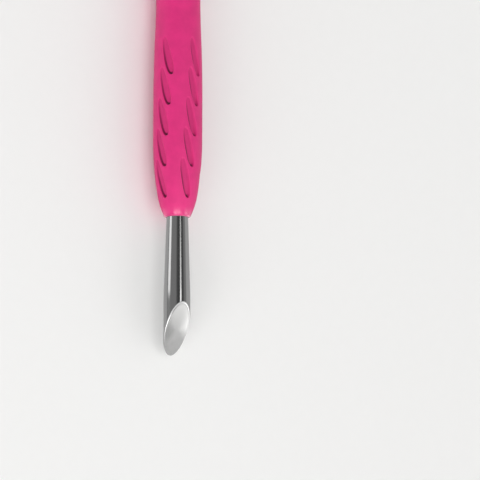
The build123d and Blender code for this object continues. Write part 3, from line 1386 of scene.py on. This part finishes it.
@dataclass
class SteelRod:
    """The rod: a flared polished shaft with an oblique ground face, and its hidden tang.

    Sizes are in mm. Ahead runs from the mouth of the handle towards the tip.

    Attributes:
        tool: where the tool's axis lies.
        body_r: radius of the round body behind the face.
        flare_deg: how much the shaft widens on each side.
        flare_end: how far ahead the flare goes.
        flare_blend: length of the arc from the flare to the body.
        bevel_deg: angle between the face and the axis.
        face_land: width of the broken edge on the face.
        body_land: its width on the body.
        land_round: how round the broken edge is, from 0, a flat, to 1.
        face_crown: how much the face swells.
        lip_depth: how far back the handle's mouth grips the rod.
        tang_r: radius of the tang.
        tang_point: chamfer of its hidden end.
        flats: how far back the two flats start and end.
        flats_across: distance across the flats.
        grooves: how far back the middles of the tang's grooves are.
        groove_width: width of a groove.
        groove_depth: depth of a groove.
        sides: points round each ring.
        land_steps: rings across the broken edge.
        face_steps: rings from the broken edge to the middle of the face.
    """

    tool: ToolFrame
    body_r: float = 3.23
    flare_deg: float = 1.8
    flare_end: float = 17.5
    flare_blend: float = 3.0
    bevel_deg: float = 27.0
    face_land: float = 0.36
    body_land: float = 0.34
    land_round: float = 0.4
    face_crown: float = 0.09
    lip_depth: float = 2.6
    tang_r: float = 2.0
    tang_point: float = 0.6
    flats: tuple[float, float] = (13.0, 23.0)
    flats_across: float = 2.9
    grooves: tuple[float, ...] = (27.0, 31.0)
    groove_width: float = 1.6
    groove_depth: float = 0.45
    sides: int = 160
    land_steps: int = 6
    face_steps: int = 14

    @property
    def turns(self) -> np.ndarray:
        """Turns of the points of every ring."""
        return even_turns(self.sides)

    def tang_profile(self) -> list[tuple[float, float, bool]]:
        """The tang from its hidden end to the neck: ahead, radius, and whether it is flatted.

        Returns:
            The profile, one entry for each ring.
        """
        end, rise = -self.tool.tang_reach, self.tang_point
        profile = [(end, self.tang_r - rise, False), (end + rise, self.tang_r, False)]
        for middle in sorted(self.grooves, reverse=True):
            low, high = -middle - self.groove_width / 2, -middle + self.groove_width / 2
            floor = self.tang_r - self.groove_depth
            profile += [(low, self.tang_r, False), (low, floor, False), (high, floor, False),
                        (high, self.tang_r, False)]
        start, stop = -self.flats[1], -self.flats[0]
        profile += [(start, self.tang_r, False), (start, self.tang_r, True), (stop, self.tang_r, True),
                    (stop, self.tang_r, False), (-self.lip_depth, self.tang_r, False)]
        return profile

    def shaft_profile(self) -> list[tuple[float, float, float]]:
        """The shaft from its neck to the round body: ahead, radius, and slope in radians.

        Returns:
            The profile, one entry for each ring.
        """
        flare = math.radians(self.flare_deg)
        arc_r = self.flare_blend / math.sin(flare)
        blend_r = self.body_r - arc_r * (1 - math.cos(flare))
        neck_r = blend_r - self.flare_end * math.tan(flare)
        profile = [(-self.lip_depth, neck_r, 0.0), (-0.05, neck_r, 0.0)]
        for ahead in np.linspace(0.05, self.flare_end, 16):
            profile.append((ahead, neck_r + ahead * math.tan(flare), flare))
        for slope in np.linspace(flare, 0, 7)[1:]:
            ahead = self.flare_end + self.flare_blend - arc_r * math.sin(slope)
            profile.append((ahead, self.body_r - arc_r * (1 - math.cos(slope)), slope))
        return profile

    def build(self, polished: bpy.types.Material, ground: bpy.types.Material) -> bpy.types.Object:
        """Makes the rod.

        Args:
            polished: finish of the shaft and the tang.
            ground: finish of the oblique face.

        Returns:
            The finished piece.
        """
        draft = MeshDraft()
        turns = self.turns
        tang = []
        for ahead, radius, flatted in self.tang_profile():
            widths = np.full(self.sides, radius)
            if flatted:
                widths = np.minimum(radius, self.flats_across / 2 / np.maximum(np.abs(np.cos(turns)), 1e-6))
            tang.append(draft.add(self.tool.place(-ahead, widths, turns)))
        draft.fan(tang[0], draft.add(self.tool.place([self.tool.tang_reach], [0.0], [0.0]))[0])
        shaft = []
        for ahead, radius, slope in self.shaft_profile():
            shaft.append(draft.add(self.tool.place(-ahead, radius, turns),
                                   self.tool.normal(math.sin(slope), turns)))
        body_start = self.flare_end + self.flare_blend
        land = self._land_rings()
        edge_back = (self.tool.mouth_x - land[0][:, 0]) / MM
        radial = self.tool.normal(0.0, turns)
        for share in np.linspace(0, 1, 16)[1:-1]:
            back = -body_start * (1 - share) + edge_back * share
            shaft.append(draft.add(self.tool.place(back, self.body_r, turns), radial))
        draft.loft([*tang, *shaft])
        face_normal = self._face_normal()
        rings = [shaft[-1]]
        for step, points in enumerate(land):
            share = step / self.land_steps
            blend = radial * (1 - share) + face_normal * share
            rings.append(draft.add(points, blend / np.linalg.norm(blend, axis=1, keepdims=True)))
        draft.loft(rings)
        self._close_face(draft, rings[-1], land[-1], ground_slot=1)
        return draft.piece("steel_rod", [polished, ground])

    def _face_normal(self) -> np.ndarray:
        """The oblique face's outward direction."""
        bevel = math.radians(self.bevel_deg)
        return np.array([math.sin(bevel), 0.0, math.cos(bevel)])

    def _land_rings(self) -> list[np.ndarray]:
        """Rings of the narrow land round the face, from the body over to the face.

        The face is placed along the axis so that the land reaches exactly as far as the tip.

        Returns:
            The rings' points, in metres.
        """
        turns, tan = self.turns, math.tan(math.radians(self.bevel_deg))
        edge = np.stack([-self.body_r * np.cos(turns) / tan, self.body_r * np.sin(turns),
                         self.body_r * np.cos(turns)], axis=-1)
        stretch = np.sqrt(1 + (np.sin(turns) / tan) ** 2)
        on_body = edge - np.outer(self.body_land * stretch, [1, 0, 0])
        tangent = np.stack([self.body_r * np.sin(turns) / tan, self.body_r * np.cos(turns),
                            -self.body_r * np.sin(turns)], axis=-1)
        inward = np.cross(self._face_normal(), tangent)
        inward /= np.linalg.norm(inward, axis=1, keepdims=True)
        inward *= -np.sign(np.sum(inward * edge, axis=1, keepdims=True))
        on_face = edge + inward * self.face_land
        middle = (on_body + on_face) / 2
        pulled = middle + (edge - middle) * self.land_round
        rings = []
        for share in np.linspace(0, 1, self.land_steps + 1):
            rings.append(on_body * (1 - share) ** 2 + pulled * 2 * share * (1 - share) + on_face * share**2)
        reach = max(float(ring[:, 0].max()) for ring in rings)
        start = np.array([self.tool.mouth_x, 0, self.tool.axis_z])
        along = np.array([(self.tool.tip_reach - reach) * MM, 0, 0])
        return [ring * MM + start + along for ring in rings]

    def _close_face(self, draft: MeshDraft, rim: list[int], rim_points: np.ndarray, ground_slot: int) -> None:
        """Adds the face itself, very slightly crowned as hand grinding leaves it.

        Args:
            draft: the rod's mesh.
            rim: numbers of the face's edge points.
            rim_points: those points, in metres.
            ground_slot: the ground finish's number.
        """
        normal = self._face_normal()
        centre = rim_points.mean(axis=0)
        reach = rim_points - centre
        rings = [rim]
        crown = self.face_crown * MM
        for share in np.linspace(1, 0, self.face_steps + 1)[1:-1]:
            points = centre + reach * share + normal * crown * (1 - share**2)
            tilt = reach / np.sum(reach**2, axis=1, keepdims=True) * 2 * crown * share
            lean = normal + tilt
            rings.append(draft.add(points, lean / np.linalg.norm(lean, axis=1, keepdims=True)))
        draft.loft(rings, ground_slot)
        draft.fan(rings[-1], draft.add([centre + normal * crown], [normal])[0], ground_slot)


# ---------------------------------------------------------------- the butt cap


@dataclass
class ButtCap:
    """Domed plug that closes the handle: a stem with a snap ring, and a dome with a moulding gate.

    Sizes are in mm.
    """

    tool: ToolFrame
    barrel_r: float = 6.0
    rim_length: float = 2.6
    flat_r: float = 1.1
    seam_break: float = 0.25
    seam_gap: float = 0.06
    stem_length: float = 9.0
    stem_r: float = 2.6
    snap_r: float = 2.85
    snap_width: float = 1.0
    snap_at: float = 6.5
    gate_r: float = 0.75
    gate_depth: float = 0.22
    gate_pip_r: float = 0.22
    gate_pip_height: float = 0.1
    sides: int = 128
    dome_steps: int = 22

    def profile(self) -> list[tuple[float, float]]:
        """The cap's outline from the stem's end to the middle of the dome: back and radius.

        Returns:
            The profile, one entry for each ring.
        """
        grip_end, butt = self.tool.grip_length, self.tool.handle_length
        stem_end = grip_end - self.stem_length
        snap = grip_end - self.snap_at
        low, high, rise = snap - self.snap_width / 2, snap + self.snap_width / 2, self.snap_r - self.stem_r
        seam = self.seam_break
        profile = [(stem_end, self.stem_r - seam), (stem_end + seam, self.stem_r),
                   (low, self.stem_r), (low + rise, self.snap_r), (high - rise, self.snap_r),
                   (high, self.stem_r), (grip_end, self.stem_r),
                   (grip_end, self.barrel_r - seam - self.seam_gap)]
        profile += arc_points((grip_end + seam, self.barrel_r - seam), seam, 180, 90, 5)
        dome_start = grip_end + self.rim_length
        run, drop = butt - dome_start, self.barrel_r - self.flat_r
        arc_r = (run**2 + drop**2) / (2 * drop)
        sweep = math.degrees(math.asin(run / arc_r))
        if drop > arc_r:
            sweep = 180 - sweep
        profile += arc_points((dome_start, self.barrel_r - arc_r), arc_r, 90, 90 - sweep, self.dome_steps)
        edge = self.gate_depth * 0.5
        profile += [(butt, self.gate_r + edge)]
        for angle in np.radians(np.linspace(0, 90, 6)):
            profile.append((butt - edge * (1 - math.cos(angle)), self.gate_r + edge * (1 - math.sin(angle))))
        for angle in np.radians(np.linspace(0, 80, 6)):
            profile.append((butt - edge - edge * math.sin(angle), self.gate_r - edge * (1 - math.cos(angle))))
        floor = butt - self.gate_depth
        profile += [(floor, self.gate_pip_r + 0.05), (floor + self.gate_pip_height * 0.8, self.gate_pip_r),
                    (floor + self.gate_pip_height, self.gate_pip_r * 0.6)]
        return profile

    def build(self, material: bpy.types.Material) -> bpy.types.Object:
        """Makes the cap.

        Args:
            material: the moulded plastic.

        Returns:
            The finished piece.
        """
        draft = MeshDraft()
        turns = even_turns(self.sides)
        profile = self.profile()
        rings = [draft.add(self.tool.place(back, radius, turns)) for back, radius in profile]
        draft.loft(rings)
        for ring, (back, _) in ((rings[0], profile[0]), (rings[-1], profile[-1])):
            draft.fan(ring, draft.add(self.tool.place([back], [0.0], [0.0]))[0])
        return draft.piece("domed_cap", [material])


# ---------------------------------------------------------------- the core


@dataclass
class RigidCore:
    """The rigid core moulded round the tang, which keeps the shape that the frame gives it."""

    node: bpy.types.Object

    def dress(self, material: bpy.types.Material) -> None:
        """Gives the core its moulded finish.

        Args:
            material: the moulded plastic.
        """
        self.node.data.materials.clear()
        self.node.data.materials.append(material)
        log.info("%s: kept, %d points", self.node.name, len(self.node.data.vertices))


# ---------------------------------------------------------------- bench, light and viewpoint


@dataclass
class Bench:
    """The pale bench top that the tool lies on."""

    half_length: float = 1.4

    def build(self, material: bpy.types.Material) -> None:
        """Lays the bench top at the height that the tool rests on.

        Args:
            material: the bench's laminate.
        """
        corners = [(-1, -1), (1, -1), (1, 1), (-1, 1)]
        mesh = bpy.data.meshes.new("bench_top")
        mesh.from_pydata([(x * self.half_length, y * self.half_length, 0.0) for x, y in corners], [],
                         [(0, 1, 2, 3)])
        mesh.materials.append(material)
        bench = bpy.data.objects.new("bench_top", mesh)
        bpy.context.scene.collection.objects.link(bench)
        bench.visible_glossy = False


@dataclass(frozen=True)
class Card:
    """A white card of the studio, by the directions from which the tool sees it.

    Attributes:
        name: what it is for.
        from_deg: where it starts, as a turn about the tool's axis from straight up.
        to_deg: where it ends; it may be past 180.
        soft_deg: how softly its long edges fade.
        lean_from: where it starts along the tool, from -1 behind the butt to 1 beyond the tip.
        lean_to: where it ends.
        lean_soft: how softly its ends fade.
        glow: its brightness.
    """

    name: str
    from_deg: float
    to_deg: float
    soft_deg: float
    lean_from: float
    lean_to: float
    lean_soft: float
    glow: float


@dataclass(frozen=True)
class Lamp:
    """A soft lamp aimed at the tool.

    Attributes:
        name: what it is for.
        place: where it hangs, in metres.
        size: its side, in metres.
        power: its power, in watts.
    """

    name: str
    place: tuple[float, float, float]
    size: float
    power: float


@dataclass
class Studio:
    """A tent of cards for the steel to reflect, and soft lamps for everything else."""

    aim: Vector
    cards: tuple[Card, ...] = (
        Card("side walls", 31, 325, 11, -2.0, 0.0, 0.05, 0.165),
        Card("far side", 57, 234, 9, -2.0, 0.0, 0.05, 0.23),
        Card("strip", -116.5, -92, 3.5, -2.0, -0.14, 0.012, 1.0),
        Card("ridge", -2.5, 6.5, 2.5, -2.0, 0.0, 0.03, 0.3),
        Card("ridge ahead", -3, 8, 2.5, -0.19, 0.0, 0.025, 1.25),
        Card("front wall", -180, 180, 1, 0.1, 0.5, 0.08, 0.9),
        Card("tip wall", -60, 140, 20, 0.42, 2.0, 0.08, 0.4),
        Card("face card", 37, 150, 10, 0.42, 0.612, 0.055, 1.6),
        Card("nose card", -62, -8, 8, 0.52, 0.82, 0.05, 1.3),
        Card("lip glint", -64, 4, 10, 0.58, 0.64, 0.012, 2.8),
        Card("front lamp", -180, 180, 1, 0.8, 2.0, 0.06, 0.5),
    )
    lamps: tuple[Lamp, ...] = (
        Lamp("key lamp", (0.42, -0.56, 0.26), 0.34, 1.5),
        Lamp("top lamp", (0.1, -0.1, 0.9), 1.0, 2.2),
        Lamp("far lamp", (-0.1, 0.7, 0.5), 0.6, 0.8),
    )
    base_glow: float = 0.07

    def build(self) -> None:
        """Hangs the cards and the lamps."""
        world = bpy.data.worlds.new("studio tent")
        bpy.context.scene.world = world
        world.use_nodes = True
        wiring = Wiring(world.node_tree)
        direction = wiring.node("ShaderNodeTexCoord").outputs["Generated"]
        parts = wiring.node("ShaderNodeSeparateXYZ")
        wiring.feed(parts.inputs[0], direction)
        radians = wiring.math("ARCTAN2", parts.outputs["Y"], parts.outputs["Z"])
        around = wiring.math("MULTIPLY", radians, 180 / math.pi)
        glow = self.base_glow
        for card in self.cards:
            glow = wiring.math("ADD", glow, self._card(wiring, card, around, parts.outputs["X"]))
        background = wiring.node("ShaderNodeBackground")
        background.inputs["Color"].default_value = (1.0, 0.995, 0.985, 1)
        wiring.feed(background.inputs["Strength"], glow)
        output = wiring.node("ShaderNodeOutputWorld")
        wiring.feed(output.inputs["Surface"], background.outputs["Background"])
        for lamp in self.lamps:
            self._hang(lamp)

    def _card(self, wiring: Wiring, card: Card, around: Socket, lean: Socket) -> Socket:
        """Brightness of one card in each direction.

        Args:
            wiring: the world's nodes.
            card: the card.
            around: the direction's turn about the tool's axis, in degrees.
            lean: how far the direction leans towards the tip.

        Returns:
            The card's share of the light.
        """
        middle, half = (card.from_deg + card.to_deg) / 2, (card.to_deg - card.from_deg) / 2
        away = wiring.math("MODULO", wiring.math("SUBTRACT", around, middle - 900), 360.0)
        away = wiring.math("ABSOLUTE", wiring.math("SUBTRACT", away, 180.0))
        width = wiring.ramp(away, half - card.soft_deg, half + card.soft_deg, 1.0, 0.0)
        start = wiring.ramp(lean, card.lean_from - card.lean_soft, card.lean_from + card.lean_soft)
        stop = wiring.ramp(lean, card.lean_to - card.lean_soft, card.lean_to + card.lean_soft, 1.0, 0.0)
        length = wiring.math("MULTIPLY", start, stop)
        return wiring.math("MULTIPLY", wiring.math("MULTIPLY", width, length), card.glow)

    def _hang(self, lamp: Lamp) -> None:
        """Hangs one lamp, out of sight of the polished steel.

        Args:
            lamp: the lamp to hang.
        """
        light = bpy.data.lights.new(lamp.name, "AREA")
        light.size, light.energy = lamp.size, lamp.power
        holder = bpy.data.objects.new(lamp.name, light)
        holder.location = lamp.place
        holder.rotation_euler = (self.aim - holder.location).to_track_quat("-Z", "Y").to_euler()
        holder.visible_glossy = False
        bpy.context.scene.collection.objects.link(holder)


@dataclass
class Viewpoint:
    """The viewer, above the tool's working end, with the butt at the top of the view.

    Attributes:
        aim: the point in the middle of the view, in metres.
        swing_deg: the viewer's turn about the tool's axis, from straight up.
        lean_deg: how far the viewer leans towards the tip.
        distance: how far away the viewer is, in metres.
        lens: focal length, in mm, on a sensor 36 mm wide.
    """

    aim: Vector
    swing_deg: float = -32.3
    lean_deg: float = 8.0
    distance: float = 0.485
    lens: float = 150.0

    def axes(self) -> tuple[Vector, Vector, Vector]:
        """The view's right, its top, and the direction from the tool to the viewer.

        Returns:
            Three unit vectors.
        """
        swing, lean = math.radians(self.swing_deg), math.radians(self.lean_deg)
        towards = Vector((math.sin(lean), math.cos(lean) * math.sin(swing), math.cos(lean) * math.cos(swing)))
        right = Vector((-1, 0, 0)).cross(towards).normalized()
        return right, towards.cross(right), towards

    def build(self) -> None:
        """Places the camera."""
        right, top, towards = self.axes()
        lens = bpy.data.cameras.new("viewer")
        lens.lens, lens.sensor_width = self.lens, SENSOR_MM
        lens.clip_start, lens.clip_end = 0.01, 20.0
        camera = bpy.data.objects.new("viewer", lens)
        turn = Matrix((right, top, towards)).transposed()
        camera.matrix_world = Matrix.Translation(self.aim + towards * self.distance) @ turn.to_4x4()
        bpy.context.scene.collection.objects.link(camera)
        bpy.context.scene.camera = camera


# ---------------------------------------------------------------- the whole scene


def main() -> None:
    """Builds the tool piece by piece, then the bench, the light and the viewpoint."""
    logging.basicConfig(level=logging.INFO, format="%(name)s: %(message)s")
    effects = Effects()
    rubber = SoftRubber("pink soft rubber", (0.73, 0.03, 0.203)).make(effects)
    polished = PolishedSteel("polished steel", (0.62, 0.62, 0.625)).make(effects)
    ground = GroundSteel("ground steel", (0.64, 0.64, 0.64)).make(effects)
    cap_plastic = MouldedPlastic("pink cap plastic", (0.7, 0.04, 0.2), roughness=0.36).make(effects)
    core_plastic = MouldedPlastic("white core plastic", (0.62, 0.6, 0.57), roughness=0.5).make(effects)

    tool = ToolFrame.read()
    outline = HandleOutline(tool.grip_length)
    install(SteelRod(tool).build(polished, ground), "blade_steel", "spudger_blade")
    install(SoftGrip(tool, outline).build(rubber), "grip_rubber", "grip_sleeve")
    install(ButtCap(tool).build(cap_plastic), "cap_plastic", "butt_cap")
    RigidCore(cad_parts["handle_core"]).dress(core_plastic)

    mouth = Vector((tool.mouth_x, 0, tool.axis_z))
    Bench().build(BenchTop("bench laminate", (0.92, 0.92, 0.915)).make(effects))
    Studio(mouth).build()
    view = Viewpoint(mouth)
    right, top, _ = view.axes()
    view.aim = mouth + right * VIEW_OFFSET[0] + top * VIEW_OFFSET[1]
    view.build()
    bpy.context.scene.view_settings.view_transform = "Standard"


if __name__ == "__main__":
    main()
